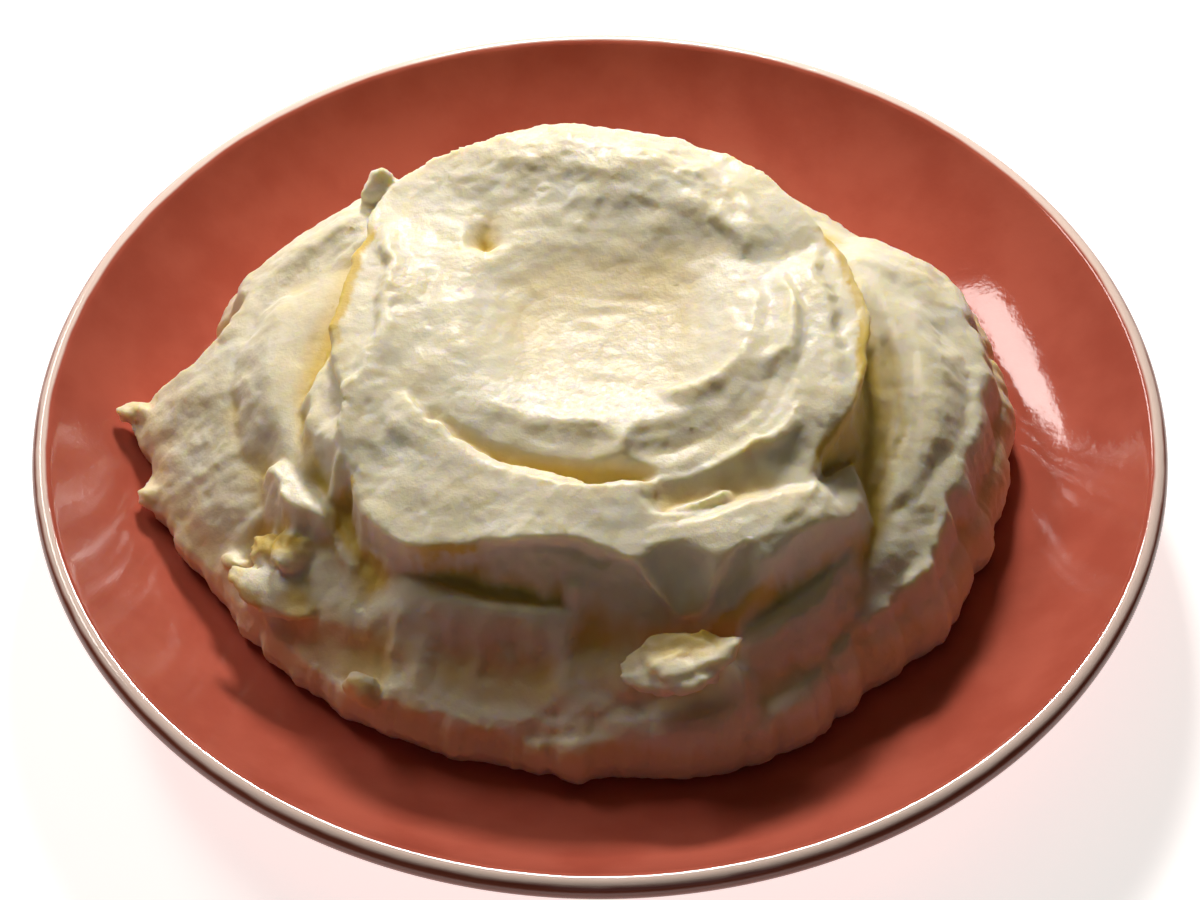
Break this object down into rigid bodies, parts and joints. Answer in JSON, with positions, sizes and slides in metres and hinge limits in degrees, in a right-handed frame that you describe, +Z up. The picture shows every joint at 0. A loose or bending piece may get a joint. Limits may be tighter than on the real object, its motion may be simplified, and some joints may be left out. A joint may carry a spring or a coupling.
{
  "type": "mashed potato side on a plate",
  "caption": "Heap of mashed potato swirled with a spoon into a crown with a shallow well, served in a small glazed coupe plate with a foot ring.",
  "frame": {"origin": "on the table under the centre of the plate's foot ring", "axes": "+Z up, -Y towards the front of the heap, where the folds of mash hang, +X to the right seen from the front"},
  "size_m": [0.2048, 0.2048, 0.058],
  "materials": {
    "mash": "satin",
    "plate": "gloss"
  },
  "bodies": {
    "root": {"mash": "mash", "plate": "plate"}
  },
  "joints": []
}
